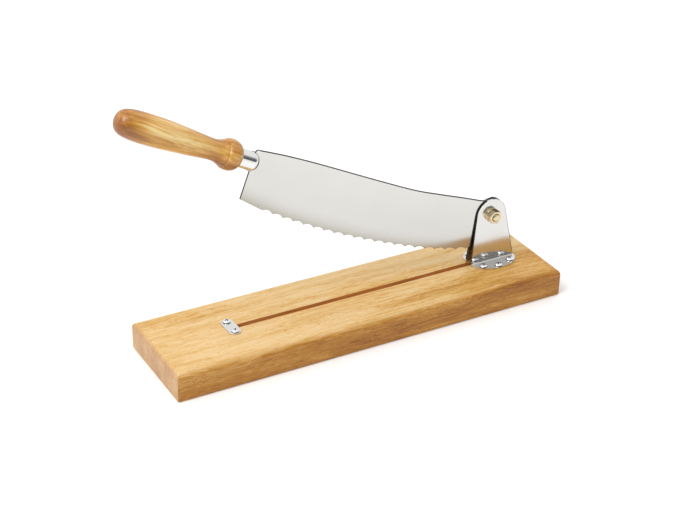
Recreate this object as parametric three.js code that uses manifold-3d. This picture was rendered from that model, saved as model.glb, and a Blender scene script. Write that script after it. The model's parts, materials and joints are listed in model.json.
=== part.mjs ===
// Hinged bread slicer: a serrated blade swings down into a groove in a beech board.
// Millimetres, +Z up. The origin is the centre of the board's underside. +X runs along
// the board towards the pivot, and +Y to the far side.
import * as THREE from 'three';
import { mergeVertices } from 'three/addons/utils/BufferGeometryUtils.js';
import Module from 'manifold-3d';

const wasm = await Module();
wasm.setup();

// Board
const BOARD_LENGTH = 440;
const BOARD_WIDTH = 110;
const BOARD_HEIGHT = 30;
const BOARD_TOP_RADIUS = 6;
const BOARD_BOTTOM_RADIUS = 1.2;
const BOARD_CORNER_RADIUS = 1.5;
const GROOVE_WIDTH = 5.8;
const GROOVE_DEPTH = 12;
const GROOVE_END_X = 172;

// Stop plate over the groove's handle end, where the heel of the blade lands
const STOP_X = -137.8;
const STOP_LENGTH = 29;
const STOP_WIDTH = 13;
const STOP_THICKNESS = 1.4;
const STOP_SCREW_SPACING = 19.4;

// Pivot and the two bent sheet brackets that hold it. Their ears lean in towards the blade
// and stand upright around the pivot.
const PIVOT_X = 163;
const PIVOT_HEIGHT = 55;
const BRACKET_THICKNESS = 2;
const BRACKET_BEND_RADIUS = 3;
const EAR_BASE_GAP = 7.6;
const EAR_TOP_GAP = 3.2;
const EAR_UPRIGHT_REACH = 8;
const EAR_TOP_RADIUS = 17.5;
const EAR_BASE_X = 166;
const EAR_BASE_HALF_WIDTH = 26.5;
const FOOT_DEPTH = 18;
const FOOT_SCREW_PLACES = [
  ['left', -16.5, 8.5],
  ['middle', -1, 13.5],
  ['right', 16.5, 8.5],
];

// Pivot hardware: a bolt with its hexagon head at the rear and a hexagon nut at the front
const BOLT_RADIUS = 4;
const BOLT_END_RADIUS = 3.2;
const BOLT_HEAD_HEIGHT = 5;
const BOLT_REACH = 1.6;
const HEXAGON_FLATS = 13;
const HEXAGON_TURN = 17.6;
const HEXAGON_CHAMFER = 1;
const NUT_HEIGHT = 6.5;
const OUTER_WASHER_RADIUS = 7.8;
const OUTER_WASHER_THICKNESS = 1.6;
const SPACER_RADIUS = 8.5;

// Pan-head wood screws, the same size everywhere
const SCREW_HEAD_RADIUS = 4.1;
const SCREW_HEAD_HEIGHT = 2.5;
const SCREW_SHANK_RADIUS = 1.7;
const SCREW_LENGTH = 15;
const SCREW_POINT = 4;
const RECESS_WIDTH = 0.9;
const RECESS_DEPTH = 1.5;
const RECESS_SHARE = 0.6;

// Blade, drawn closed with the pivot at its origin and the handle towards -X
const BLADE_THICKNESS = 2;
const BLADE_HEEL_X = -297.2;
const BLADE_HEEL_Z = -52.2;
const BLADE_TAIL_RADIUS = 14;
const TAIL_ANGLE = 12;
const TOOTH_PITCH = 12.92;
const TOOTH_DEPTH = 2.2;
const LAST_TIP_X = 2.8;
const TOOTH_COUNT = 21;
const PLAIN_STEPS = 4;
const SPINE_END_X = -298.2;
const SPINE_CORNER_X = -302.2;
const NECK_X = -300.7;
const TANG_LENGTH = 82;
const TANG_HALF_FRONT = 5.5;
const TANG_HALF_END = 3.5;
const TANG_POINT = 3;
const TANG_SLOT_SPARE = 7;
const OPEN_ANGLE = 26.25;

// Turned handle and its ferrule
const HANDLE_LENGTH = 133;
const HANDLE_FRONT_X = -318.7;
const HANDLE_FRONT_Z = -13;
const HANDLE_TILT = 1.6;
const FERRULE_RADIUS = 9.7;
const FERRULE_WALL = 1;
const FERRULE_LENGTH = 23;
const FERRULE_DOME = 8;
const FERRULE_SLIT = 14;
const TENON_RADIUS = 8.3;
const TENON_LENGTH = 9;

// Clearances: around fasteners, between seated faces, and beside the turning blade
const GAP = 0.3;
const SEAT_GAP = 0.05;
const RUNNING_GAP = 0.15;
const BORE_GAP = 0.08;
const SLIT_WIDTH = BLADE_THICKNESS + 2 * GAP;

const BOARD_TOP = BOARD_HEIGHT;
const PIVOT_Z = BOARD_TOP + PIVOT_HEIGHT;
const EAR_OUTER_Y = EAR_BASE_GAP / 2 + BRACKET_THICKNESS;
const WASHER_SEAT = EAR_TOP_GAP / 2 + BRACKET_THICKNESS + SEAT_GAP;
const NUT_SEAT = WASHER_SEAT + OUTER_WASHER_THICKNESS + SEAT_GAP;

const metal = (color, roughness) => new THREE.MeshStandardMaterial({ color, roughness, metalness: 1 });
const matt = (color, roughness) => new THREE.MeshStandardMaterial({ color, roughness, metalness: 0 });

// A closed solid for cutting and joining.
function toSolid(geometry) {
  const plain = geometry.clone();
  plain.deleteAttribute('normal');
  plain.deleteAttribute('uv');
  const merged = mergeVertices(plain, 1e-4);
  return new wasm.Manifold(new wasm.Mesh({
    numProp: 3,
    vertProperties: new Float32Array(merged.attributes.position.array),
    triVerts: new Uint32Array(merged.index.array),
  }));
}

function toGeometry(solid) {
  const cut = solid.getMesh();
  const geometry = new THREE.BufferGeometry();
  geometry.setAttribute('position', new THREE.BufferAttribute(new Float32Array(cut.vertProperties), 3));
  geometry.setIndex(new THREE.BufferAttribute(new Uint32Array(cut.triVerts), 1));
  geometry.computeVertexNormals();
  return geometry;
}

function piece(name, solid, material) {
  const mesh = new THREE.Mesh(toGeometry(solid), material);
  mesh.name = name;
  return mesh;
}

function extruded(shape, depth, curveSegments) {
  return new THREE.ExtrudeGeometry(shape, { depth, bevelEnabled: false, curveSegments });
}

// Straight prisms. A shape is drawn in the two axes that its name gives, and extruded
// along the third axis from low to high.
function prismXY(shape, low, high, curveSegments = 12) {
  const geometry = extruded(shape, high - low, curveSegments);
  geometry.translate(0, 0, low);
  return toSolid(geometry);
}

function prismXZ(shape, low, high, curveSegments = 12) {
  const geometry = extruded(shape, high - low, curveSegments);
  geometry.rotateX(Math.PI / 2);
  geometry.translate(0, high, 0);
  return toSolid(geometry);
}

function prismYZ(shape, low, high, curveSegments = 12) {
  const geometry = extruded(shape, high - low, curveSegments);
  const axes = new THREE.Matrix4().makeBasis(
    new THREE.Vector3(0, 1, 0),
    new THREE.Vector3(0, 0, 1),
    new THREE.Vector3(1, 0, 0),
  );
  geometry.applyMatrix4(axes);
  geometry.translate(low, 0, 0);
  return toSolid(geometry);
}

function rodY(radius, low, high, x = 0, z = 0) {
  const geometry = new THREE.CylinderGeometry(radius, radius, high - low, 24);
  geometry.translate(x, (low + high) / 2, z);
  return toSolid(geometry);
}

function rodZ(radius, low, high, x = 0, y = 0) {
  const geometry = new THREE.CylinderGeometry(radius, radius, high - low, 16);
  geometry.rotateX(Math.PI / 2);
  geometry.translate(x, y, (low + high) / 2);
  return toSolid(geometry);
}

function block(sizeX, sizeY, sizeZ, x, y, z) {
  const geometry = new THREE.BoxGeometry(sizeX, sizeY, sizeZ);
  geometry.translate(x, y, z);
  return toSolid(geometry);
}

// A body turned about Y. The profile's points are (radius, y).
function turned(profile, segments) {
  return toSolid(new THREE.LatheGeometry(profile, segments));
}

const at = (x, y) => new THREE.Vector2(x, y);

// Points of an ellipse's arc about a centre, from one angle to another in degrees. A point
// that belongs on the axis is put exactly there.
function arcPoints(centreX, centreY, radiusX, radiusY, from, to, steps) {
  const points = [];
  for (let i = 0; i <= steps; i += 1) {
    const angle = THREE.MathUtils.degToRad(from + ((to - from) * i) / steps);
    const x = centreX + radiusX * Math.cos(angle);
    points.push(at(Math.abs(x) < 1e-6 ? 0 : x, centreY + radiusY * Math.sin(angle)));
  }
  return points;
}

// A rectangle from z = 0 up, with one radius at its two upper corners and one at its lower.
function slabSection(width, height, upper, lower) {
  const half = width / 2;
  const shape = new THREE.Shape();
  shape.moveTo(-half + lower, 0);
  shape.lineTo(half - lower, 0);
  shape.absarc(half - lower, lower, lower, -Math.PI / 2, 0);
  shape.lineTo(half, height - upper);
  shape.absarc(half - upper, height - upper, upper, 0, Math.PI / 2);
  shape.lineTo(-half + upper, height);
  shape.absarc(-half + upper, height - upper, upper, Math.PI / 2, Math.PI);
  shape.lineTo(-half, lower);
  shape.absarc(-half + lower, lower, lower, Math.PI, Math.PI * 1.5);
  return shape;
}

// A slot outline along X with half-round ends.
function stadium(lowX, highX, width) {
  const radius = width / 2;
  const shape = new THREE.Shape();
  shape.moveTo(lowX + radius, -radius);
  shape.lineTo(highX - radius, -radius);
  shape.absarc(highX - radius, 0, radius, -Math.PI / 2, Math.PI / 2);
  shape.lineTo(lowX + radius, radius);
  shape.absarc(lowX + radius, 0, radius, Math.PI / 2, Math.PI * 1.5);
  return shape;
}

// Places [x, y] of every screw that enters the board.
function footScrewPlace(side, alongX, outward) {
  return [EAR_BASE_X + alongX, side * (EAR_OUTER_Y + outward)];
}

function stopScrewPlace(side) {
  return [STOP_X, (side * STOP_SCREW_SPACING) / 2];
}

function allScrewPlaces() {
  const places = [stopScrewPlace(-1), stopScrewPlace(1)];
  for (const side of [-1, 1]) {
    for (const [, alongX, outward] of FOOT_SCREW_PLACES) {
      places.push(footScrewPlace(side, alongX, outward));
    }
  }
  return places;
}

// The board: rounded along every edge, with the blade's groove and the screws' pilot holes.
function makeBoard() {
  const outline = slabSection(BOARD_LENGTH, BOARD_WIDTH, BOARD_CORNER_RADIUS, BOARD_CORNER_RADIUS);
  let board = prismXY(outline, 0, BOARD_HEIGHT, 4).translate([0, -BOARD_WIDTH / 2, 0]);
  const alongX = slabSection(BOARD_LENGTH, BOARD_HEIGHT, BOARD_TOP_RADIUS, BOARD_BOTTOM_RADIUS);
  board = board.intersect(prismXZ(alongX, -BOARD_WIDTH, BOARD_WIDTH, 6));
  const alongY = slabSection(BOARD_WIDTH, BOARD_HEIGHT, BOARD_TOP_RADIUS, BOARD_BOTTOM_RADIUS);
  board = board.intersect(prismYZ(alongY, -BOARD_LENGTH, BOARD_LENGTH, 6));
  const groove = stadium(STOP_X, GROOVE_END_X, GROOVE_WIDTH);
  board = board.subtract(prismXY(groove, BOARD_TOP - GROOVE_DEPTH, BOARD_TOP + 1, 6));
  for (const [x, y] of allScrewPlaces()) {
    const pilot = rodZ(SCREW_SHANK_RADIUS + GAP, BOARD_TOP - SCREW_LENGTH - 1, BOARD_TOP + 1, x, y);
    board = board.subtract(pilot);
  }
  return board;
}

// Pan-head wood screw with a cross recess: head above z = 0, shank and point below.
function makeScrew() {
  const profile = [
    at(0, -SCREW_LENGTH),
    at(SCREW_SHANK_RADIUS, SCREW_POINT - SCREW_LENGTH),
    at(SCREW_SHANK_RADIUS, 0),
    ...arcPoints(0, 0, SCREW_HEAD_RADIUS, SCREW_HEAD_HEIGHT, 0, 90, 6),
  ];
  const screw = turned(profile, 16).rotate([90, 0, 0]);
  const floor = SCREW_HEAD_HEIGHT - RECESS_DEPTH;
  const armLength = 2 * SCREW_HEAD_RADIUS * RECESS_SHARE;
  const cross = block(armLength, RECESS_WIDTH, SCREW_HEAD_HEIGHT, 0, 0, floor + SCREW_HEAD_HEIGHT / 2)
    .add(block(RECESS_WIDTH, armLength, SCREW_HEAD_HEIGHT, 0, 0, floor + SCREW_HEAD_HEIGHT / 2));
  return screw.subtract(cross);
}

// The stop plate: a sheet stadium lying across the groove, with two screw holes.
function makeStopPlate() {
  const top = BOARD_TOP + STOP_THICKNESS;
  const outline = stadium(-STOP_LENGTH / 2, STOP_LENGTH / 2, STOP_WIDTH);
  let plate = prismXY(outline, BOARD_TOP, top, 10).rotate([0, 0, 90]).translate([STOP_X, 0, 0]);
  for (const side of [-1, 1]) {
    const [x, y] = stopScrewPlace(side);
    plate = plate.subtract(rodZ(SCREW_SHANK_RADIUS + GAP, BOARD_TOP - 1, top + 1, x, y));
  }
  return plate;
}

// Angle on the ear's round top where a straight side from a base corner touches it.
function tangentAngle(halfWidth) {
  const distance = Math.hypot(halfWidth, PIVOT_HEIGHT);
  return Math.acos(EAR_TOP_RADIUS / distance) - Math.atan2(PIVOT_HEIGHT, halfWidth);
}

// The ear's outline: straight sides, tangent to a round top about the pivot.
function earOutline() {
  const left = EAR_BASE_X - EAR_BASE_HALF_WIDTH;
  const right = EAR_BASE_X + EAR_BASE_HALF_WIDTH;
  const shape = new THREE.Shape();
  shape.moveTo(left, BOARD_TOP);
  shape.lineTo(right, BOARD_TOP);
  const rightTouch = tangentAngle(right - PIVOT_X);
  const leftTouch = Math.PI - tangentAngle(PIVOT_X - left);
  shape.absarc(PIVOT_X, PIVOT_Z, EAR_TOP_RADIUS, rightTouch, leftTouch);
  return shape;
}

// The sheet's section across the bend: the ear stands on the side facing the blade.
function bracketSection() {
  const outer = -EAR_OUTER_Y;
  const inner = outer + BRACKET_THICKNESS;
  const topInner = -EAR_TOP_GAP / 2;
  const topOuter = topInner - BRACKET_THICKNESS;
  const edge = outer - FOOT_DEPTH;
  const uprightFrom = PIVOT_Z - EAR_UPRIGHT_REACH;
  const top = PIVOT_Z + EAR_TOP_RADIUS + 1;
  const upper = BOARD_TOP + BRACKET_THICKNESS;
  const bend = BRACKET_BEND_RADIUS;
  const fillet = bend - BRACKET_THICKNESS;
  const shape = new THREE.Shape();
  shape.moveTo(edge - 1, BOARD_TOP);
  shape.lineTo(inner - bend, BOARD_TOP);
  shape.absarc(inner - bend, BOARD_TOP + bend, bend, -Math.PI / 2, 0);
  shape.lineTo(topInner, uprightFrom);
  shape.lineTo(topInner, top);
  shape.lineTo(topOuter, top);
  shape.lineTo(topOuter, uprightFrom);
  shape.lineTo(outer, upper + fillet);
  shape.absarc(outer - fillet, upper + fillet, fillet, 0, -Math.PI / 2, true);
  shape.lineTo(edge - 1, upper);
  return shape;
}

// The foot's outline seen from above: half an ellipse beyond the ear.
function footOutline() {
  const shape = new THREE.Shape();
  shape.moveTo(EAR_BASE_X - EAR_BASE_HALF_WIDTH, 0);
  shape.lineTo(EAR_BASE_X - EAR_BASE_HALF_WIDTH, -EAR_OUTER_Y);
  shape.absellipse(EAR_BASE_X, -EAR_OUTER_Y, EAR_BASE_HALF_WIDTH, FOOT_DEPTH, Math.PI, Math.PI * 2);
  shape.lineTo(EAR_BASE_X + EAR_BASE_HALF_WIDTH, 0);
  return shape;
}

// A bracket on the near side; its twin is the mirror image.
function makeBracket() {
  const reach = EAR_BASE_X + EAR_BASE_HALF_WIDTH + 1;
  let bracket = prismYZ(bracketSection(), reach - 2 * EAR_BASE_HALF_WIDTH - 2, reach, 5);
  bracket = bracket.intersect(prismXZ(earOutline(), -2 * FOOT_DEPTH, 1, 16));
  bracket = bracket.intersect(prismXY(footOutline(), BOARD_TOP - 1, PIVOT_Z + 2 * EAR_TOP_RADIUS, 16));
  bracket = bracket.subtract(rodY(BOLT_RADIUS + GAP, -2 * EAR_OUTER_Y, 0, PIVOT_X, PIVOT_Z));
  for (const [, alongX, outward] of FOOT_SCREW_PLACES) {
    const [x, y] = footScrewPlace(-1, alongX, outward);
    bracket = bracket.subtract(rodZ(SCREW_SHANK_RADIUS + GAP, BOARD_TOP - 1, BOARD_TOP + 5, x, y));
  }
  return bracket;
}

// A hexagon bar about the pivot axis between two values of y, corners cut by a turned profile.
function hexagonal(profile, low, high) {
  const geometry = new THREE.CylinderGeometry(1, 1, high - low, 6);
  const corner = HEXAGON_FLATS / Math.sqrt(3);
  geometry.scale(corner, 1, corner);
  geometry.translate(0, (low + high) / 2, 0);
  return toSolid(geometry).rotate([0, -HEXAGON_TURN, 0]).intersect(turned(profile, 24));
}

// Brass bolt: a chamfered hexagon head behind the rear ear, and its rounded end past the nut.
function makePivotBolt() {
  const top = NUT_SEAT + BOLT_HEAD_HEIGHT;
  const end = NUT_SEAT + NUT_HEIGHT + BOLT_REACH;
  const headProfile = [
    at(0, NUT_SEAT),
    at(HEXAGON_FLATS, NUT_SEAT),
    at(HEXAGON_FLATS / 2 + HEXAGON_CHAMFER, top - HEXAGON_CHAMFER),
    at(HEXAGON_FLATS / 2 - HEXAGON_CHAMFER, top),
    at(0, top),
  ];
  const shankProfile = [
    at(0, -end),
    at(BOLT_END_RADIUS, -end),
    at(BOLT_RADIUS, BOLT_RADIUS - BOLT_END_RADIUS - end),
    at(BOLT_RADIUS, NUT_SEAT + 1),
    at(0, NUT_SEAT + 1),
  ];
  const head = hexagonal(headProfile, NUT_SEAT, top);
  return head.add(turned(shankProfile, 24)).translate([PIVOT_X, 0, PIVOT_Z]);
}

// Brass hexagon nut on the near side, its outer corners chamfered.
function makePivotNut() {
  const top = NUT_SEAT + NUT_HEIGHT;
  const profile = [
    at(0, NUT_SEAT),
    at(HEXAGON_FLATS, NUT_SEAT),
    at(HEXAGON_FLATS / 2 + HEXAGON_CHAMFER, top - HEXAGON_CHAMFER / 2),
    at(HEXAGON_FLATS / 2 - HEXAGON_CHAMFER / 2, top),
    at(0, top),
  ];
  return hexagonal(profile, NUT_SEAT, top)
    .subtract(rodY(BOLT_RADIUS + GAP, NUT_SEAT - 1, top + 1))
    .mirror([0, 1, 0])
    .translate([PIVOT_X, 0, PIVOT_Z]);
}

// A flat ring about the pivot axis between two values of y.
function makeWasher(radius, low, high) {
  const ring = rodY(radius, low, high, PIVOT_X, PIVOT_Z);
  return ring.subtract(rodY(BOLT_RADIUS + GAP, low - 1, high + 1, PIVOT_X, PIVOT_Z));
}

// Line through the tips of the teeth, from the heel to the tail.
function toothLine() {
  return new THREE.SplineCurve([
    at(BLADE_HEEL_X, BLADE_HEEL_Z),
    at(-248.3, -59.6),
    at(-168.3, -62.3),
    at(-88.3, -57.9),
    at(-34.3, -50),
    at(LAST_TIP_X, -40.2),
  ]);
}

// The back of the blade, from the tail to the handle: level, with a gentle rise at the tail.
function spineLine() {
  return new THREE.SplineCurve([
    at(-20.3, 10.6),
    at(-43.3, 8.5),
    at(-73.3, 5.3),
    at(-106.3, 2.5),
    at(-158.3, 1.9),
    at(-228.3, 2),
    at(-268.3, 1.1),
    at(SPINE_END_X, -0.8),
  ]);
}

// The point of a left-to-right curve at a given x.
function pointAt(curve, x) {
  let low = 0;
  let high = 1;
  for (let i = 0; i < 30; i += 1) {
    const middle = (low + high) / 2;
    if (curve.getPoint(middle).x < x) low = middle;
    else high = middle;
  }
  return at(x, curve.getPoint(low).y);
}

// The hollow between two tooth tips, its deepest point TOOTH_DEPTH above the line of tips.
function scallop(from, to, steps) {
  const chord = to.clone().sub(from);
  const inward = at(-chord.y, chord.x).normalize();
  const points = [];
  for (let i = 1; i <= steps; i += 1) {
    const share = i / steps;
    const depth = 4 * TOOTH_DEPTH * share * (1 - share);
    points.push(from.clone().addScaledVector(chord, share).addScaledVector(inward, depth));
  }
  return points;
}

// The cutting edge from the heel: a plain stretch, then the scalloped teeth.
function edgePoints() {
  const tips = toothLine();
  const firstTip = LAST_TIP_X - TOOTH_COUNT * TOOTH_PITCH;
  const points = [];
  for (let i = 0; i <= PLAIN_STEPS; i += 1) {
    points.push(pointAt(tips, BLADE_HEEL_X + ((firstTip - BLADE_HEEL_X) * i) / PLAIN_STEPS));
  }
  for (let tooth = 0; tooth < TOOTH_COUNT; tooth += 1) {
    const x = firstTip + tooth * TOOTH_PITCH;
    points.push(...scallop(pointAt(tips, x), pointAt(tips, x + TOOTH_PITCH), 6));
  }
  return points;
}

function bladeOutline() {
  const tailAngle = THREE.MathUtils.degToRad(TAIL_ANGLE);
  const tangEndX = HANDLE_FRONT_X - TANG_LENGTH;
  const tangEndZ = HANDLE_FRONT_Z + TANG_LENGTH * Math.tan(THREE.MathUtils.degToRad(HANDLE_TILT));
  const tangTop = HANDLE_FRONT_Z + TANG_HALF_FRONT;
  const tangBottom = HANDLE_FRONT_Z - TANG_HALF_FRONT;
  const shape = new THREE.Shape();
  shape.absarc(0, 0, BLADE_TAIL_RADIUS, -tailAngle, Math.PI / 2 + tailAngle);
  for (const point of spineLine().getPoints(28)) shape.lineTo(point.x, point.y);
  shape.quadraticCurveTo(SPINE_CORNER_X + 1, -2, SPINE_CORNER_X, tangTop);
  shape.lineTo(HANDLE_FRONT_X, tangTop);
  shape.lineTo(tangEndX, tangEndZ + TANG_HALF_END);
  shape.lineTo(tangEndX - TANG_POINT, tangEndZ);
  shape.lineTo(tangEndX, tangEndZ - TANG_HALF_END);
  shape.lineTo(HANDLE_FRONT_X, tangBottom);
  shape.lineTo(NECK_X, tangBottom);
  for (const point of edgePoints()) shape.lineTo(point.x, point.y);
  const tailX = BLADE_TAIL_RADIUS * Math.cos(tailAngle);
  shape.quadraticCurveTo(11, -36, tailX, -BLADE_TAIL_RADIUS * Math.sin(tailAngle));
  return shape;
}

// Serrated blade with its tang, one flat plate with the pivot hole.
function makeBlade() {
  const half = BLADE_THICKNESS / 2;
  const plate = prismXZ(bladeOutline(), -half, half, 10);
  return plate.subtract(rodY(BOLT_RADIUS + BORE_GAP, -half - 1, half + 1));
}

// Moves a body turned about Y, with its base at the handle's butt, to its place on the arm.
function alongHandle(body) {
  return body
    .translate([0, -HANDLE_LENGTH, 0])
    .rotate([0, 0, -90])
    .rotate([0, HANDLE_TILT, 0])
    .translate([HANDLE_FRONT_X, 0, HANDLE_FRONT_Z]);
}

// Turned handle: swelling grip, waist, a groove, a bead, and a tenon inside the ferrule.
function makeHandle() {
  const grip = new THREE.SplineCurve([
    at(0, 0),
    at(6.4, 0.9),
    at(10.4, 3.8),
    at(12.8, 9.4),
    at(14.1, 19),
    at(14.5, 34),
    at(14, 52),
    at(12.7, 72),
    at(11.3, 90),
    at(10.4, 102),
    at(10.8, 109),
    at(13, 115.4),
  ]);
  const bead = new THREE.SplineCurve([
    at(12.6, 116.2),
    at(14.4, 118.4),
    at(15.2, 122.5),
    at(15, 126),
    at(13.9, 129.5),
    at(12, 132),
    at(9.9, HANDLE_LENGTH),
  ]);
  const profile = [
    ...grip.getPoints(26),
    ...bead.getPoints(12),
    at(TENON_RADIUS, HANDLE_LENGTH),
    at(TENON_RADIUS, HANDLE_LENGTH + TENON_LENGTH),
    at(0, HANDLE_LENGTH + TENON_LENGTH),
  ];
  const slotLow = HANDLE_FRONT_X - TANG_LENGTH - TANG_SLOT_SPARE;
  const slotHigh = HANDLE_FRONT_X + FERRULE_LENGTH;
  const slotHeight = 2 * TANG_HALF_FRONT + 2;
  const slotCentre = (slotLow + slotHigh) / 2;
  const tangSlot = block(slotHigh - slotLow, SLIT_WIDTH, slotHeight, slotCentre, 0, HANDLE_FRONT_Z + GAP);
  return alongHandle(turned(profile, 32)).subtract(tangSlot);
}

// Drawn metal ferrule: a cap with a domed end, slit to let the blade through.
function makeFerrule() {
  const start = HANDLE_LENGTH + GAP;
  const domeStart = start + FERRULE_LENGTH - FERRULE_DOME;
  const inner = FERRULE_RADIUS - FERRULE_WALL;
  const outside = arcPoints(0, domeStart, FERRULE_RADIUS, FERRULE_DOME, 0, 90, 8);
  const inside = arcPoints(0, domeStart, inner, FERRULE_DOME - FERRULE_WALL, 90, 0, 6);
  const profile = [...inside, at(inner, start), at(FERRULE_RADIUS, start), ...outside];
  const slit = block(FERRULE_SLIT, SLIT_WIDTH, 4 * FERRULE_RADIUS, SPINE_END_X + 2, 0, HANDLE_FRONT_Z);
  return alongHandle(turned(profile, 32)).subtract(slit);
}

// Fixed pieces: board, stop plate, brackets, their screws, and the pivot hardware.
function makeStand() {
  const beech = matt(0xdcb580, 0.5);
  const steel = metal(0xd4d6d8, 0.25);
  const zinc = metal(0xc9ccd0, 0.3);
  const brass = metal(0xc9a868, 0.28);
  const nylon = matt(0xe6e2d6, 0.5);
  const group = new THREE.Group();
  group.add(piece('base_board', makeBoard(), beech.clone()));
  group.add(piece('stop_plate', makeStopPlate(), steel.clone()));
  for (const [side, name] of [[-1, 'front'], [1, 'rear']]) {
    const bracket = side < 0 ? makeBracket() : makeBracket().mirror([0, 1, 0]);
    group.add(piece(`bracket_${name}`, bracket, steel.clone()));
    for (const [place, alongX, outward] of FOOT_SCREW_PLACES) {
      const screw = piece(`bracket_${name}_screw_${place}`, makeScrew(), zinc.clone());
      screw.position.set(...footScrewPlace(side, alongX, outward), BOARD_TOP + BRACKET_THICKNESS);
      group.add(screw);
    }
    const screw = piece(`stop_plate_screw_${name}`, makeScrew(), zinc.clone());
    screw.position.set(...stopScrewPlace(side), BOARD_TOP + STOP_THICKNESS);
    group.add(screw);
    const spacer = [BLADE_THICKNESS / 2 + RUNNING_GAP, EAR_TOP_GAP / 2 - SEAT_GAP];
    const washer = [WASHER_SEAT, WASHER_SEAT + OUTER_WASHER_THICKNESS];
    const span = ([low, high]) => (side < 0 ? [-high, -low] : [low, high]);
    const inner = makeWasher(SPACER_RADIUS, ...span(spacer));
    const outer = makeWasher(OUTER_WASHER_RADIUS, ...span(washer));
    group.add(piece(`pivot_spacer_${name}`, inner, nylon.clone()));
    group.add(piece(`pivot_washer_${name}`, outer, brass.clone()));
  }
  group.add(piece('pivot_bolt', makePivotBolt(), brass.clone()));
  group.add(piece('pivot_nut', makePivotNut(), brass.clone()));
  return group;
}

// Moving pieces, drawn closed and swung open about the pivot.
function makeArm() {
  const group = new THREE.Group();
  group.add(piece('blade', makeBlade(), metal(0xd9d9d6, 0.18)));
  group.add(piece('ferrule', makeFerrule(), metal(0xe2e4e6, 0.12)));
  group.add(piece('handle', makeHandle(), matt(0xd9a765, 0.35)));
  group.position.set(PIVOT_X, 0, PIVOT_Z);
  group.rotation.y = THREE.MathUtils.degToRad(OPEN_ANGLE);
  return group;
}

const breadSlicer = new THREE.Group();
breadSlicer.add(makeStand());
breadSlicer.add(makeArm());

export default breadSlicer;
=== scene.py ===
"""Looks of the hinged bread slicer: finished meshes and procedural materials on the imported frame.

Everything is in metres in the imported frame: origin under the board's centre, +X towards the
pivot, +Y to the far side, +Z up. Lengths below are given in millimetres and scaled once.
"""
import json
import math

import bmesh
import bpy
from mathutils import Matrix, Vector


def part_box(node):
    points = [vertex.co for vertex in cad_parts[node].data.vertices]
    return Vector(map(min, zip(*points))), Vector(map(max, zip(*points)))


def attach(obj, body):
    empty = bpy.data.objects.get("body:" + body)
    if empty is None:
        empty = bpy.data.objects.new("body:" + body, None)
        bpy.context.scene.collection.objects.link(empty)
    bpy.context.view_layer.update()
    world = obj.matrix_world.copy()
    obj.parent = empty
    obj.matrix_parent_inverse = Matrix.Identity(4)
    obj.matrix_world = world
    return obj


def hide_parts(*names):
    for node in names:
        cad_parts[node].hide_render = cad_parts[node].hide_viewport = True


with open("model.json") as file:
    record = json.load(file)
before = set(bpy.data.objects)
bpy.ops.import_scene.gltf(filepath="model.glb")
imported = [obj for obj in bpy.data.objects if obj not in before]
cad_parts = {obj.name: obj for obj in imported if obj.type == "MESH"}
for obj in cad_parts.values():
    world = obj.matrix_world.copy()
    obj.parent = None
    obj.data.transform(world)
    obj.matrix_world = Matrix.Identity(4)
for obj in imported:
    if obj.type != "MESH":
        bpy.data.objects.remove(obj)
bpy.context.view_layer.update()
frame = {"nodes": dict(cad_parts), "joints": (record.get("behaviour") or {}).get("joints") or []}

MM = 0.001
PIVOT = Vector(frame["joints"][0]["pos_m"])
OPEN_ANGLE = math.radians(26.25)

# ---------------------------------------------------------------- mesh helpers


def new_object(name, mesh, matrix=None):
    obj = bpy.data.objects.new(name, mesh)
    bpy.context.scene.collection.objects.link(obj)
    if matrix is not None:
        obj.matrix_world = matrix
    return obj


def face_outward(mesh):
    bm = bmesh.new()
    bm.from_mesh(mesh)
    bmesh.ops.remove_doubles(bm, verts=bm.verts, dist=1e-7)
    bmesh.ops.recalc_face_normals(bm, faces=bm.faces)
    if bm.calc_volume(signed=True) < 0:
        bmesh.ops.reverse_faces(bm, faces=bm.faces)
    bm.to_mesh(mesh)
    bm.free()


def mesh_from(name, points, faces):
    """A mesh with outward normals from points in millimetres."""
    mesh = bpy.data.meshes.new(name)
    mesh.from_pydata([Vector(p) * MM for p in points], [], faces)
    face_outward(mesh)
    return mesh


def lathe(name, profile, segments=96):
    """A body turned about Z from (radius, z) points. A zero radius closes it on the axis."""
    points = []
    rings = []
    for radius, z in profile:
        if radius < 1e-6:
            rings.append([len(points)] * segments)
            points.append((0, 0, z))
            continue
        ring = []
        for k in range(segments):
            angle = 2 * math.pi * k / segments
            ring.append(len(points))
            points.append((radius * math.cos(angle), radius * math.sin(angle), z))
        rings.append(ring)
    faces = []
    for low, high in zip(rings, rings[1:]):
        for k in range(segments):
            n = (k + 1) % segments
            corners = [low[k], low[n], high[n], high[k]]
            faces.append(list(dict.fromkeys(corners)))
    return mesh_from(name, points, faces)


def prism(name, outline, low, high):
    """An outline drawn in X and Z, extruded along Y from low to high."""
    count = len(outline)
    points = [(x, low, z) for x, z in outline] + [(x, high, z) for x, z in outline]
    faces = [list(range(count)), list(range(2 * count - 1, count - 1, -1))]
    for k in range(count):
        n = (k + 1) % count
        faces.append([k, count + k, count + n, n])
    return mesh_from(name, points, faces)


def arc(centre_x, centre_y, radius_x, radius_y, start, end, steps):
    points = []
    for k in range(steps + 1):
        angle = math.radians(start + (end - start) * k / steps)
        points.append((centre_x + radius_x * math.cos(angle), centre_y + radius_y * math.sin(angle)))
    return points


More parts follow.
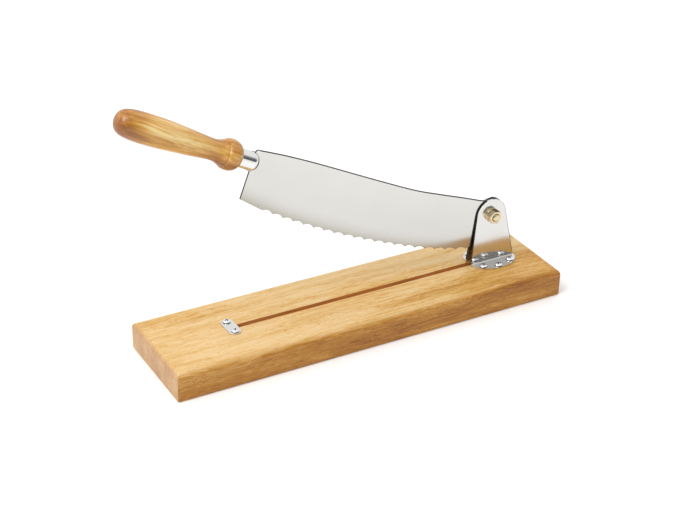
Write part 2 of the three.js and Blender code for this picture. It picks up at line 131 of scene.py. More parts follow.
def spline(points, steps):
    """Catmull-Rom curve through 2-D points, with the given number of steps in all."""
    padded = [points[0]] + list(points) + [points[-1]]
    spans = len(points) - 1
    result = []
    for k in range(steps + 1):
        place = min(k * spans / steps, spans - 1e-9)
        i = int(place)
        t = place - i
        p0, p1, p2, p3 = (Vector(padded[i + j]) for j in range(4))
        m1, m2 = (p2 - p0) / 2, (p3 - p1) / 2
        t2, t3 = t * t, t * t * t
        point = (2 * t3 - 3 * t2 + 1) * p1 + (t3 - 2 * t2 + t) * m1
        point += (-2 * t3 + 3 * t2) * p2 + (t3 - t2) * m2
        result.append((point.x, point.y))
    return result


def at_x(curve, x):
    """The second coordinate of a left-to-right polyline at x."""
    for (x0, y0), (x1, y1) in zip(curve, curve[1:]):
        if x0 <= x <= x1:
            return y0 + (y1 - y0) * (x - x0) / max(x1 - x0, 1e-9)
    return curve[0][1] if x < curve[0][0] else curve[-1][1]


def apply_modifiers(obj):
    bpy.context.view_layer.update()
    depsgraph = bpy.context.evaluated_depsgraph_get()
    mesh = bpy.data.meshes.new_from_object(obj.evaluated_get(depsgraph))
    obj.modifiers.clear()
    old = obj.data
    obj.data = mesh
    bpy.data.meshes.remove(old)


def combine(obj, other_mesh, operation):
    """Cuts obj with another mesh in the same coordinates, or keeps what they share."""
    other = new_object("cutter", other_mesh, obj.matrix_world.copy())
    step = obj.modifiers.new("combine", "BOOLEAN")
    step.operation = operation
    step.object = other
    step.solver = "EXACT"
    apply_modifiers(obj)
    face_outward(obj.data)
    bpy.data.objects.remove(other)


def bevel(obj, width, segments=3, angle=35):
    step = obj.modifiers.new("bevel", "BEVEL")
    step.width = width * MM
    step.segments = segments
    step.limit_method = "ANGLE"
    step.angle_limit = math.radians(angle)
    step.harden_normals = False
    apply_modifiers(obj)


def smooth(obj, angle=35):
    """Smooth shading that keeps flat faces flat and edges over the angle sharp."""
    for polygon in obj.data.polygons:
        polygon.use_smooth = True
    obj.data.set_sharp_from_angle(angle=math.radians(angle))
    weighted = obj.modifiers.new("normals", "WEIGHTED_NORMAL")
    weighted.keep_sharp = True
    weighted.weight = 80
    apply_modifiers(obj)


def place(obj, body, slot, material, *nodes):
    """Gives a finished piece its material and puts it on its body in place of CAD nodes."""
    obj.data.materials.clear()
    obj.data.materials.append(material)
    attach(obj, body)
    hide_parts(*nodes)
    return obj


# ---------------------------------------------------------------- material helpers


class Nodes:
    """Short calls that add and link shader nodes in one tree."""

    def __init__(self, tree):
        self.tree = tree

    def add(self, kind, settings=None, **inputs):
        node = self.tree.nodes.new("ShaderNode" + kind)
        for key, value in (settings or {}).items():
            setattr(node, key, value)
        for key, value in inputs.items():
            self.feed(node, key.replace("_", " "), value)
        return node

    def feed(self, node, socket, value):
        target = node.inputs[int(socket)] if socket.isdigit() else node.inputs[socket]
        if isinstance(value, bpy.types.NodeSocket):
            self.tree.links.new(value, target)
        else:
            target.default_value = value

    def math(self, operation, *values):
        node = self.add("Math", {"operation": operation})
        for k, value in enumerate(values):
            self.feed(node, str(k), value)
        return node.outputs[0]

    def vector(self, operation, *values):
        node = self.add("VectorMath", {"operation": operation})
        for k, value in enumerate(values):
            self.feed(node, str(k), value)
        return node.outputs[0]

    def noise(self, vector, scale=1.0, detail=4.0, roughness=0.55):
        node = self.add("TexNoise", Vector=vector, Scale=scale, Detail=detail, Roughness=roughness)
        return node.outputs["Fac"]

    def stretch(self, vector, scale):
        return self.vector("MULTIPLY", vector, scale)

    def spread(self, value, low, high, out_low=0.0, out_high=1.0):
        """Maps a value from one range to another, and holds it there."""
        node = self.add("MapRange", {"clamp": True})
        for k, number in enumerate((value, low, high, out_low, out_high)):
            self.feed(node, str(k), number)
        return node.outputs[0]

    def mix(self, factor, first, second):
        node = self.add("Mix", {"data_type": "RGBA"})
        self.feed(node, "0", factor)
        self.feed(node, "6", first)
        self.feed(node, "7", second)
        return node.outputs[2]

    def ramp(self, factor, stops):
        node = self.add("ValToRGB", Fac=factor)
        elements = node.color_ramp.elements
        while len(elements) < len(stops):
            elements.new(0.5)
        for element, (position, colour) in zip(elements, stops):
            element.position = position
            element.color = (*colour, 1)
        return node.outputs["Color"]


class Surface(Nodes):
    """A procedural material under construction, on one Principled shader."""

    def __init__(self, name, **values):
        self.material = bpy.data.materials.new(name)
        self.material.use_nodes = True
        super().__init__(self.material.node_tree)
        self.tree.nodes.clear()
        self.shader = self.add("BsdfPrincipled", **values)
        output = self.add("OutputMaterial")
        self.tree.links.new(self.shader.outputs["BSDF"], output.inputs["Surface"])
        self.coordinates = self.add("TexCoord")

    def bump(self, height, strength, distance):
        node = self.add("Bump", Strength=strength, Distance=distance, Height=height)
        self.feed(self.shader, "Normal", node.outputs["Normal"])

    def colour(self, value):
        self.feed(self.shader, "Base Color", value)

    def roughness(self, value):
        self.feed(self.shader, "Roughness", value)


def srgb(red, green, blue):
    """A display colour, 0 to 255, as linear light."""

    def linear(level):
        share = level / 255
        return share / 12.92 if level <= 10 else ((share + 0.055) / 1.055) ** 2.4

    return tuple(linear(level) for level in (red, green, blue))


# ---------------------------------------------------------------- materials


def beech_board():
    """Plain-sawn beech: soft streaks, short flecks, a darker wedge at the front right, pinkish ends, and
    long sides in a darker ramp whose edge grain is deepened by painted shade.
    """
    s = Surface("beech_board", **{"IOR": 1.45, "Coat Weight": 0.1, "Coat Roughness": 0.35})
    spot = s.coordinates.outputs["Object"]
    split = s.add("SeparateXYZ", Vector=spot)
    x, y = split.outputs["X"], split.outputs["Y"]
    wander = s.noise(s.stretch(spot, (9.0, 35.0, 35.0)), detail=3)
    sway = s.add("CombineXYZ", Y=s.math("MULTIPLY", wander, 0.02), Z=s.math("MULTIPLY", wander, 0.02))
    grained = s.vector("ADD", spot, sway.outputs[0])
    broad = s.noise(s.stretch(grained, (5.0, 42.0, 42.0)), detail=3)
    streaks = s.noise(s.stretch(grained, (12.0, 420.0, 420.0)), detail=5, roughness=0.62)
    fibres = s.noise(s.stretch(grained, (60.0, 2200.0, 2200.0)), detail=3, roughness=0.6)
    flecks = s.noise(s.stretch(spot, (190.0, 1300.0, 1300.0)), detail=2, roughness=0.5)
    tone = s.math("ADD", s.math("MULTIPLY", broad, 0.34), s.math("MULTIPLY", streaks, 0.26))
    tone = s.math("ADD", tone, s.math("MULTIPLY", fibres, 0.4))
    waver = s.math("MULTIPLY", s.math("SUBTRACT", wander, 0.5), 0.05)
    edge_line = s.math("ADD", s.math("MULTIPLY", x, 0.2), waver)
    wedge = s.math("SUBTRACT", s.math("SUBTRACT", edge_line, 0.036), y)
    wedge = s.spread(wedge, -0.004, 0.012)
    tone = s.math("SUBTRACT", tone, s.math("MULTIPLY", wedge, 0.05))
    face = s.ramp(tone, [(low, srgb(*c)) for low, c in FACE_TONES])
    # The long sides take a darker ramp: edge grain, made darker still as painted shade.
    edge = s.ramp(tone, [(low, srgb(*c)) for low, c in SIDE_GRAIN_AND_SHADE_TONES])
    end = s.ramp(tone, [(low, srgb(*c)) for low, c in END_TONES])
    normal = s.add("SeparateXYZ", Vector=s.coordinates.outputs["Normal"])
    on_side = s.spread(s.math("ABSOLUTE", normal.outputs["Y"]), 0.35, 0.95)
    on_end = s.spread(s.math("ABSOLUTE", normal.outputs["X"]), 0.35, 0.95)
    colour = s.mix(on_end, s.mix(on_side, face, edge), end)
    marks = s.math("MULTIPLY", s.spread(flecks, 0.6, 0.74), 0.3)
    colour = s.mix(marks, colour, (*srgb(150, 95, 50), 1))
    s.colour(colour)
    s.roughness(s.spread(streaks, 0.3, 0.7, 0.55, 0.42))
    s.bump(s.math("ADD", s.math("MULTIPLY", fibres, 0.5), s.math("MULTIPLY", flecks, 0.5)), 0.3, 0.0003)
    return s.material


def groove_wood():
    """The sawn walls of the groove: the same wood in a browner, darker ramp, painted shade inside the
    narrow groove.
    """
    s = Surface("groove_wood", **{"IOR": 1.45})
    spot = s.coordinates.outputs["Object"]
    streaks = s.noise(s.stretch(spot, (25.0, 300.0, 600.0)), detail=4, roughness=0.6)
    s.colour(s.ramp(streaks, [(low, srgb(*c)) for low, c in GROOVE_SHADE_TONES]))
    s.roughness(s.spread(streaks, 0.3, 0.7, 0.7, 0.55))
    s.bump(streaks, 0.3, 0.0003)
    return s.material


def lacquered_handle():
    """Turned hardwood under clear lacquer. The grain runs along the handle's own Z axis."""
    s = Surface("handle_wood", **{"IOR": 1.5, "Coat Weight": 0.35, "Coat Roughness": 0.3})
    spot = s.coordinates.outputs["Object"]
    split = s.add("SeparateXYZ", Vector=spot)
    drift = s.noise(s.stretch(spot, (30.0, 30.0, 9.0)), detail=2)
    wander = s.add("CombineXYZ", X=s.math("MULTIPLY", drift, 0.014), Y=s.math("MULTIPLY", drift, -0.009))
    warped = s.vector("ADD", spot, wander.outputs[0])
    streaks = s.noise(s.stretch(warped, (420.0, 420.0, 12.0)), detail=5, roughness=0.62)
    broad = s.noise(s.stretch(warped, (75.0, 75.0, 8.0)), detail=2)
    fine = s.noise(s.stretch(spot, (1900.0, 1900.0, 90.0)), detail=2)
    tone = s.math("ADD", s.math("MULTIPLY", streaks, 0.5), s.math("MULTIPLY", broad, 0.5))
    x, y = split.outputs["X"], split.outputs["Y"]
    # A pale band on the side turned toward the light is a painted highlight.
    highlight_side = s.math("ADD", s.math("MULTIPLY", x, -0.6), s.math("MULTIPLY", y, -0.8))
    painted_highlight = s.spread(highlight_side, 0.007, 0.0135)
    butt = s.spread(split.outputs["Z"], 0.004, 0.032, 1.0, 0.0)
    # The darker lower side of the handle is painted shade.
    painted_underside_shade = s.spread(x, -0.004, 0.008)
    neck = s.spread(split.outputs["Z"], 0.085, 0.115)
    shade = s.math("ADD", s.math("MULTIPLY", butt, 0.2), s.math("MULTIPLY", painted_underside_shade, 0.13))
    shade = s.math("ADD", shade, s.math("MULTIPLY", neck, 0.11))
    tone = s.math("SUBTRACT", s.math("ADD", tone, s.math("MULTIPLY", painted_highlight, 0.08)), shade)
    colour = s.ramp(tone, [(low, srgb(*c)) for low, c in HANDLE_TONES])
    colour = s.mix(s.math("MULTIPLY", s.spread(fine, 0.58, 0.72), 0.35), colour, (*srgb(140, 82, 38), 1))
    s.colour(colour)
    s.roughness(s.spread(streaks, 0.3, 0.7, 0.42, 0.3))
    s.bump(streaks, 0.12, 0.0002)
    return s.material


def metal(name, colour, rough, rough_spread, grain, bump):
    """Bare metal with drawn grain: noise stretched by grain changes its gloss and tone a little."""
    s = Surface(name, Metallic=1.0)
    spot = s.coordinates.outputs["Object"]
    lines = s.noise(s.stretch(spot, grain), detail=4, roughness=0.6)
    cloud = s.noise(spot, scale=24.0, detail=2)
    darker = tuple(c * 0.97 for c in colour)
    s.colour(s.mix(s.spread(cloud, 0.3, 0.7), (*darker, 1), (*colour, 1)))
    s.roughness(s.spread(lines, 0.3, 0.7, rough, rough + rough_spread))
    s.bump(lines, bump, 0.0001)
    return s.material


def blade_steel():
    """Brushed plate, rougher where it was ground thin toward the teeth. Its colour is darker and warmer
    there as a painted reflection, and lighter toward the spine as a painted sheen.
    """
    s = Surface("blade_steel", Metallic=1.0)
    spot = s.coordinates.outputs["Object"]
    split = s.add("SeparateXYZ", Vector=spot)
    along = s.math("ADD", split.outputs["X"], 0.165)
    teeth = s.math("ADD", s.math("MULTIPLY", s.math("MULTIPLY", along, along), 0.58), -0.0623)
    height = s.math("SUBTRACT", split.outputs["Z"], teeth)
    # Darker, warmer steel near the teeth is a painted reflection; the extra roughness there is the real
    # ground zone.
    near_teeth = s.spread(height, 0.020, 0.001)
    ground_and_painted_reflection = s.math("MULTIPLY", near_teeth, near_teeth)
    lines = s.noise(s.stretch(spot, (30.0, 10.0, 2200.0)), detail=4, roughness=0.6)
    cloud = s.noise(spot, scale=24.0, detail=2)
    # Lighter steel higher up toward the spine is a painted sheen.
    steel_with_painted_sheen = s.mix(s.spread(height, 0.03, 0.075), (0.645, 0.635, 0.605, 1), (0.70, 0.69, 0.66, 1))
    steel_with_painted_sheen = s.mix(s.spread(cloud, 0.3, 0.7, 0.06, 0.0), steel_with_painted_sheen, (0.3, 0.3, 0.28, 1))
    s.colour(s.mix(ground_and_painted_reflection, steel_with_painted_sheen, (0.46, 0.44, 0.39, 1)))
    s.roughness(s.math("ADD", s.spread(lines, 0.3, 0.7, 0.1, 0.15), s.math("MULTIPLY", ground_and_painted_reflection, 0.2)))
    s.bump(lines, 0.02, 0.0001)
    return s.material


def nylon():
    s = Surface("nylon", **{"IOR": 1.53, "Subsurface Weight": 0.05})
    cloud = s.noise(s.coordinates.outputs["Object"], scale=300.0, detail=3)
    s.colour(s.mix(cloud, (*srgb(214, 208, 192), 1), (*srgb(236, 232, 220), 1)))
    s.roughness(s.spread(cloud, 0.3, 0.7, 0.4, 0.55))
    s.bump(cloud, 0.1, 0.0001)
    return s.material


# Wood tones, darkest first: (grain value, display colour)
FACE_TONES = [
    (0.38, (173, 119, 36)),
    (0.44, (202, 153, 68)),
    (0.50, (214, 177, 118)),
    (0.57, (222, 190, 138)),
]
# Long sides: edge grain, darkened further as painted shade.
SIDE_GRAIN_AND_SHADE_TONES = [
    (0.38, (140, 81, 16)),
    (0.45, (174, 114, 30)),
    (0.51, (190, 133, 44)),
    (0.58, (212, 166, 96)),
]
# Groove walls: a browner, darker ramp that is painted shade.
GROOVE_SHADE_TONES = [
    (0.3, (178, 112, 50)),
    (0.5, (208, 142, 72)),
    (0.7, (222, 160, 92)),
]
END_TONES = [
    (0.40, (166, 120, 76)),
    (0.50, (187, 145, 100)),
    (0.60, (200, 164, 120)),
]
HANDLE_TONES = [
    (0.26, (138, 80, 16)),
    (0.38, (178, 118, 36)),
    (0.48, (206, 152, 68)),
    (0.56, (225, 181, 106)),
    (0.65, (243, 215, 150)),
]

BEECH = beech_board()
GROOVE_WOOD = groove_wood()
HANDLE_WOOD = lacquered_handle()
BLADE_STEEL = blade_steel()
BRACKET_STEEL = metal("bracket_steel", (0.72, 0.71, 0.69), 0.13, 0.06, (600.0, 600.0, 40.0), 0.015)
# Near-black steel laid on edges, rims and recesses: painted shade and painted dark reflection.
PAINTED_SHADE_STEEL = metal("painted_shade_steel", (0.07, 0.068, 0.065), 0.45, 0.2, (900.0, 900.0, 900.0), 0.1)
PLATE_STEEL = metal("plate_steel", (0.74, 0.74, 0.72), 0.25, 0.12, (1500.0, 60.0, 60.0), 0.05)
SCREW_STEEL = metal("screw_steel", (0.86, 0.87, 0.89), 0.14, 0.1, (600.0, 600.0, 600.0), 0.03)
CHROME = metal("ferrule_chrome", (0.78, 0.78, 0.77), 0.06, 0.04, (300.0, 300.0, 300.0), 0.01)
BRASS = metal("pivot_brass", (0.72, 0.61, 0.40), 0.1, 0.06, (500.0, 500.0, 500.0), 0.01)
NYLON = nylon()


# ---------------------------------------------------------------- board


def rounded_section(width, height, upper, lower, steps):
    """A rectangle standing on zero, its upper corners and its lower corners rounded."""
    half = width / 2
    outline = arc(half - lower, lower, lower, lower, -90, 0, max(2, steps // 2))
    outline += arc(half - upper, height - upper, upper, upper, 0, 90, steps)
    outline += arc(upper - half, height - upper, upper, upper, 90, 180, steps)
    outline += arc(lower - half, lower, lower, lower, 180, 270, max(2, steps // 2))
    return outline


def stadium_points(low_x, high_x, half_width, steps=14):
    right = arc(high_x - half_width, 0, half_width, half_width, -90, 90, steps)
    left = arc(low_x + half_width, 0, half_width, half_width, 90, 270, steps)
    return right + left


def stack(name, loops):
    """A closed body from level loops, each (height, points in X and Y)."""
    count = len(loops[0][1])
    points = [(x, y, z) for z, loop in loops for x, y in loop]
    faces = [list(range(count)), list(range(len(points) - count, len(points)))]
    for level in range(len(loops) - 1):
        base = level * count
        for k in range(count):
            n = (k + 1) % count
            faces.append([base + k, base + n, base + count + n, base + count + k])
    return mesh_from(name, points, faces)


BOARD_LOW, BOARD_HIGH = (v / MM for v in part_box("base_board"))
BOARD_TOP = BOARD_HIGH.z
ROUND_TOP = 6
ROUND_BOTTOM = 1.2
GROOVE_WIDTH = 5.8
GROOVE_DEPTH = 12
GROOVE_END_X = 172
LIP = 0.4


def make_board():
    length = BOARD_HIGH.x - BOARD_LOW.x
    width = BOARD_HIGH.y - BOARD_LOW.y
    side_view = rounded_section(length, BOARD_TOP, ROUND_TOP, ROUND_BOTTOM, 12)
    end_view = rounded_section(width, BOARD_TOP, ROUND_TOP, ROUND_BOTTOM, 12)
    board = new_object("board", prism("board", side_view, BOARD_LOW.y, BOARD_HIGH.y))
    across = prism("across", end_view, BOARD_LOW.x, BOARD_HIGH.x)
    across.transform(Matrix.Rotation(math.radians(90), 4, "Z"))
    combine(board, across, "INTERSECT")
    bevel(board, 0.9, 3, 30)
    half = GROOVE_WIDTH / 2
    left = STOP_X
    levels = [(-GROOVE_DEPTH, 0), (-LIP, 0), (-LIP * 0.3, LIP * 0.3), (0, LIP), (2, LIP + 2)]
    loops = [
        (BOARD_TOP + up, stadium_points(left - wider, GROOVE_END_X + wider, half + wider))
        for up, wider in levels
    ]
    combine(board, stack("groove", loops), "DIFFERENCE")
    smooth(board, 30)
    place(board, "stand", "beech_board", BEECH, "base_board")
    board.data.materials.append(GROOVE_WOOD)
    for face in board.data.polygons:
        centre = face.center / MM
        inside = abs(centre.y) < half + LIP * 0.3 and left - LIP < centre.x < GROOVE_END_X + LIP
        if inside and centre.z < BOARD_TOP - 0.05:
            face.material_index = 1


# ---------------------------------------------------------------- stop plate and screws

STOP_LOW, STOP_HIGH = (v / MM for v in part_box("stop_plate"))
STOP_X = (STOP_LOW.x + STOP_HIGH.x) / 2
SCREW_HEAD_RADIUS = 4.1
SCREW_HEAD_HEIGHT = 2.5
SCREW_SHANK = 1.7
RECESS_REACH = 2.5


def make_stop_plate():
    half = (STOP_HIGH.x - STOP_LOW.x) / 2
    outline = [(STOP_X + y, x) for x, y in stadium_points(STOP_LOW.y, STOP_HIGH.y, half, 24)]
    loops = [(STOP_LOW.z, outline), (STOP_HIGH.z, outline)]
    plate = new_object("stop_plate_sheet", stack("stop_plate_sheet", loops))
    bevel(plate, 0.35, 3, 60)
    smooth(plate, 40)
    place(plate, "stand", "plate_steel", PLATE_STEEL, "stop_plate")


def rectangle(half_x, half_y):
    return [(-half_x, -half_y), (half_x, -half_y), (half_x, half_y), (-half_x, half_y)]


def screw_mesh():
    """A pan head over z = 0 with a cross recess, and the top of its shank."""
    rim = 0.5
    profile = [(0, -3), (SCREW_SHANK, -3), (SCREW_SHANK, 0), (SCREW_HEAD_RADIUS - 0.25, 0)]
    profile += [(SCREW_HEAD_RADIUS, 0.2), (SCREW_HEAD_RADIUS, rim)]
    profile += arc(0, rim, SCREW_HEAD_RADIUS, SCREW_HEAD_HEIGHT - rim, 4, 90, 12)
    profile[-1] = (0, SCREW_HEAD_HEIGHT)
    head = new_object("screw", lathe("screw", profile, 48))
    for turn in (0, 90):
        floor = rectangle(RECESS_REACH * 0.55, 0.35)
        mouth = rectangle(RECESS_REACH, 0.55)
        arm = stack("recess", [(0.7, floor), (SCREW_HEAD_HEIGHT + 0.3, mouth)])
        arm.transform(Matrix.Rotation(math.radians(turn), 4, "Z"))
        combine(head, arm, "DIFFERENCE")
    smooth(head, 35)
    mesh = head.data
    bpy.data.objects.remove(head)
    return mesh


def make_screws():
    mesh = screw_mesh()
    turn = 20
    for node in sorted(frame["nodes"]):
        if "screw" not in node:
            continue
        low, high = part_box(node)
        seat = Vector(((low.x + high.x) / 2, (low.y + high.y) / 2, high.z - SCREW_HEAD_HEIGHT * MM))
        matrix = Matrix.Translation(seat) @ Matrix.Rotation(math.radians(turn), 4, "Z")
        screw = new_object(node + "_head", mesh.copy(), matrix)
        place(screw, "stand", "screw_steel", SCREW_STEEL, node)
        screw.data.materials.append(PAINTED_SHADE_STEEL)
        # The cross recess and the head's lower rim are painted near black: painted shade.
        for face in screw.data.polygons:
            centre = face.center / MM
            near_axis = math.hypot(centre.x, centre.y) < RECESS_REACH + 0.1
            in_recess = near_axis and 0.3 < centre.z < SCREW_HEAD_HEIGHT - 0.55
            if in_recess or centre.z < 0.6:
                face.material_index = 1
        turn += 37


# ---------------------------------------------------------------- brackets

SHEET = 2.0
EAR_BASE_GAP = 7.6
EAR_TOP_GAP = 3.2
EAR_UPRIGHT_REACH = 8
EAR_TOP_RADIUS = 17.5
EAR_BASE_HALF_WIDTH = 26.5
BEND_RADIUS = 3
FOOT_DEPTH = 18
CROWN_WIDTH = 7
CROWN_DROP = 0.6
EDGE_ROUND = 0.4
BRACKET_LOW, BRACKET_HIGH = (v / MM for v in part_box("bracket_front"))
EAR_BASE_X = (BRACKET_LOW.x + BRACKET_HIGH.x) / 2
PIVOT_X = PIVOT.x / MM
PIVOT_Z = PIVOT.z / MM


def ear_sides(z):
    """Left and right limits of the ear at a height: straight sides, then the round top."""
    sides = []
    for sign in (-1, 1):
        base = sign * (EAR_BASE_X - PIVOT_X) + EAR_BASE_HALF_WIDTH
        height = PIVOT_Z - BOARD_TOP
        tangent = math.acos(EAR_TOP_RADIUS / math.hypot(base, height)) - math.atan2(height, base)
        touch = EAR_TOP_RADIUS * math.sin(tangent)
        above = z - PIVOT_Z
        if above < touch:
            reach = EAR_TOP_RADIUS * math.cos(tangent)
            share = (z - BOARD_TOP) / (touch + height)
            half = base + (reach - base) * share
        else:
            half = math.sqrt(max(0.0, EAR_TOP_RADIUS**2 - above**2))
        sides.append(PIVOT_X + sign * half)
    return sides


def bracket_rows():
    """Rows from the foot's tip to the ear's top: (outer y, z, inner y, z, left x, right x)."""
    middle = SHEET / 2
    base_outer = EAR_BASE_GAP / 2 + SHEET
    top_outer = EAR_TOP_GAP / 2 + SHEET
    upright = PIVOT_Z - EAR_UPRIGHT_REACH
    bend_start = base_outer - SHEET + BEND_RADIUS
    rows = []

    def add(y, z, tilt, left, right):
        """One row on the sheet's middle: tilt is 0 on the foot and 90 degrees on an upright ear."""
        dy, dz = math.sin(tilt), math.cos(tilt)
        rows.append((y + dy * middle, z + dz * middle, y - dy * middle, z - dz * middle, left, right))

    for k in range(20):
        angle = math.radians(86 * (1 - k / 19))
        outward = FOOT_DEPTH * math.sin(angle)
        if base_outer + outward < bend_start + 0.2:
            continue
        half = EAR_BASE_HALF_WIDTH * math.cos(angle)
        add(base_outer + outward, BOARD_TOP + middle, 0, EAR_BASE_X - half, EAR_BASE_X + half)
    bend = BEND_RADIUS - middle
    for k in range(13):
        turn = math.pi / 2 * k / 12
        y = bend_start - bend * math.sin(turn)
        z = BOARD_TOP + BEND_RADIUS - bend * math.cos(turn)
        outward = max(0.0, y - base_outer)
        half = EAR_BASE_HALF_WIDTH * math.sqrt(max(0.0, 1 - (outward / FOOT_DEPTH) ** 2))
        left, right = ear_sides(z)
        left, right = max(left, EAR_BASE_X - half), min(right, EAR_BASE_X + half)
        add(y, z, turn, left, right)
    start_y, start_z = bend_start - bend, BOARD_TOP + BEND_RADIUS
    end_y = top_outer - middle
    for k in range(1, 13):
        share = k / 12
        z = start_z + (upright - start_z) * share
        add(start_y + (end_y - start_y) * share, z, math.pi / 2, *ear_sides(z))
    for k in range(1, 8):
        z = upright + (PIVOT_Z - upright) * k / 7
        add(end_y, z, math.pi / 2, *ear_sides(z))
    for k in range(1, 33):
        z = PIVOT_Z + EAR_TOP_RADIUS * math.sin(math.radians(86 * k / 32))
        add(end_y, z, math.pi / 2, *ear_sides(z))
    return rows


def crown(x, z):
    """How far the ear's outer face falls back near its round top, as if polished over."""
    inside = EAR_TOP_RADIUS - math.hypot(x - PIVOT_X, max(0.0, z - PIVOT_Z))
    share = min(1.0, max(0.0, 1 - inside / CROWN_WIDTH))
    height = min(1.0, max(0.0, (z - PIVOT_Z) / 9 + 0.3))
    return CROWN_DROP * share * share * height


def make_bracket(name, side):
    columns = 28
    points = []
    rows = bracket_rows()
    for outer_y, outer_z, inner_y, inner_z, left, right in rows:
        for y, z in ((outer_y, outer_z), (inner_y, inner_z)):
            for k in range(columns + 1):
                x = (left + right) / 2 - (right - left) / 2 * math.cos(math.pi * k / columns)
                drop = crown(x, z) if y == outer_y and z > PIVOT_Z - EAR_UPRIGHT_REACH else 0
                points.append((x, side * (y - drop), z))
    row_size = 2 * (columns + 1)
    faces = []
    for r in range(len(rows) - 1):
        here, above = r * row_size, (r + 1) * row_size
        for k in range(columns):
            faces.append([here + k, here + k + 1, above + k + 1, above + k])
            inner, inner_above = here + columns + 1 + k, above + columns + 1 + k
            faces.append([inner, inner_above, inner_above + 1, inner + 1])
        for k in (0, columns):
            faces.append([here + k, above + k, above + columns + 1 + k, here + columns + 1 + k])
    for r in (0, len(rows) - 1):
        here = r * row_size
        for k in range(columns):
            faces.append([here + k, here + k + 1, here + columns + 2 + k, here + columns + 1 + k])
    bracket = new_object(name + "_sheet", mesh_from(name, points, faces))
    bevel(bracket, EDGE_ROUND, 4, 50)
    smooth(bracket, 35)
    place(bracket, "stand", "bracket_steel", BRACKET_STEEL, name)
    bracket.data.materials.append(PAINTED_SHADE_STEEL)
    # The sheared edge faces left of each ear, and the rounded rim right of it, are painted near black as
    # painted shade.
    turned_to = -0.35 if side < 0 else -0.9
    for face in bracket.data.polygons:
        edge_on = abs(face.normal.y) < 0.6 and face.center.z / MM > BOARD_TOP + BEND_RADIUS
        x, z = face.center.x / MM, face.center.z / MM
        right_rim = z > BOARD_TOP + 2 * BEND_RADIUS and x > ear_sides(z)[1] - EDGE_ROUND
        if (edge_on and face.normal.x < turned_to) or right_rim:
            face.material_index = 1


# ---------------------------------------------------------------- pivot hardware

HEXAGON_FLATS = 13
HEXAGON_TURN = 17.6
BOLT_RADIUS = 4
BOLT_END_RADIUS = 3.2
NUT_LOW, NUT_HIGH = (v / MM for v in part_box("pivot_nut"))
BOLT_LOW, BOLT_HIGH = (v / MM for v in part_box("pivot_bolt"))


def about_pivot(mesh):
    """Turns a body drawn about Z, its top up, to lie along -Y at the pivot."""
    mesh.transform(Matrix.Translation((PIVOT.x, 0, PIVOT.z)) @ Matrix.Rotation(math.radians(90), 4, "X"))
    return mesh


def hexagon_body(name, near, far, turned_profile):
    """A hexagon bar between two values of y, its corners cut by a turned profile of (radius, -y)."""
    corner = HEXAGON_FLATS / math.sqrt(3)
    outline = []
    for k in range(6):
        angle = math.radians(HEXAGON_TURN + 30 + 60 * k)
        outline.append((PIVOT_X + corner * math.cos(angle), PIVOT_Z + corner * math.sin(angle)))
    body = new_object(name, prism(name, outline, near, far))
    combine(body, about_pivot(lathe(name + "_chamfer", turned_profile, 96)), "INTERSECT")
    bevel(body, 0.22, 3, 18)
    return body


def make_pivot():
    half = HEXAGON_FLATS / 2
    seat, crown_y = -NUT_HIGH.y, -NUT_LOW.y
    chamfer = [(0, seat), (half + 0.6, seat), (half + 1.6, seat + 0.5), (half + 1.6, crown_y - 0.9)]
    chamfer += [(half + 0.2, crown_y - 0.1), (half - 0.4, crown_y), (0, crown_y)]
    nut = hexagon_body("pivot_nut_body", -crown_y, -seat, chamfer)
    thread = BOLT_RADIUS + 0.1
    mouth = [(0, crown_y - 2), (thread, crown_y - 2), (thread, crown_y - 0.8)]
    mouth += [(thread + 1, crown_y + 0.2), (0, crown_y + 0.2)]
    combine(nut, about_pivot(lathe("mouth", mouth)), "DIFFERENCE")
    smooth(nut, 30)
    place(nut, "stand", "pivot_brass", BRASS, "pivot_nut")

    end = -BOLT_LOW.y
    profile = [(0, -BOLT_HIGH.y + 0.5), (BOLT_RADIUS, -BOLT_HIGH.y + 0.5), (BOLT_RADIUS, end - 0.8)]
    profile += [(BOLT_RADIUS - 0.25, end - 0.45), (BOLT_END_RADIUS, end - 0.1)]
    profile += [(BOLT_END_RADIUS - 0.3, end), (0, end)]
    shank = new_object("pivot_bolt_shank", about_pivot(lathe("pivot_bolt_shank", profile, 72)))
    smooth(shank, 30)
    place(shank, "stand", "pivot_brass", BRASS)
    seat, top = -NUT_HIGH.y, BOLT_HIGH.y
    chamfer = [(0, -top), (half - 1, -top), (half + 1, -top + 1), (half + 1.6, -top + 1.4)]
    chamfer += [(half + 1.6, -seat - 0.5), (half + 0.6, -seat), (0, -seat)]
    head = hexagon_body("pivot_bolt_head", seat, top, chamfer)
    smooth(head, 30)
    place(head, "stand", "pivot_brass", BRASS, "pivot_bolt")

    for node in ("pivot_washer_front", "pivot_washer_rear", "pivot_spacer_front", "pivot_spacer_rear"):
        low, high = (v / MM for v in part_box(node))
        radius = (high.x - low.x) / 2
        soft = min(0.3, (high.y - low.y) * 0.4)
        bore = BOLT_RADIUS + 0.1
        ring = [(bore, low.y), (radius - soft, low.y), (radius, low.y + soft)]
        ring += [(radius, high.y - soft), (radius - soft, high.y), (bore, high.y), (bore, low.y)]
        washer = new_object(node + "_ring", about_pivot(lathe(node, [(r, -y) for r, y in ring], 72)))
        smooth(washer, 50)
        brass = "washer" in node
        place(washer, "stand", "pivot_brass" if brass else "nylon", BRASS if brass else NYLON, node)


# ---------------------------------------------------------------- blade

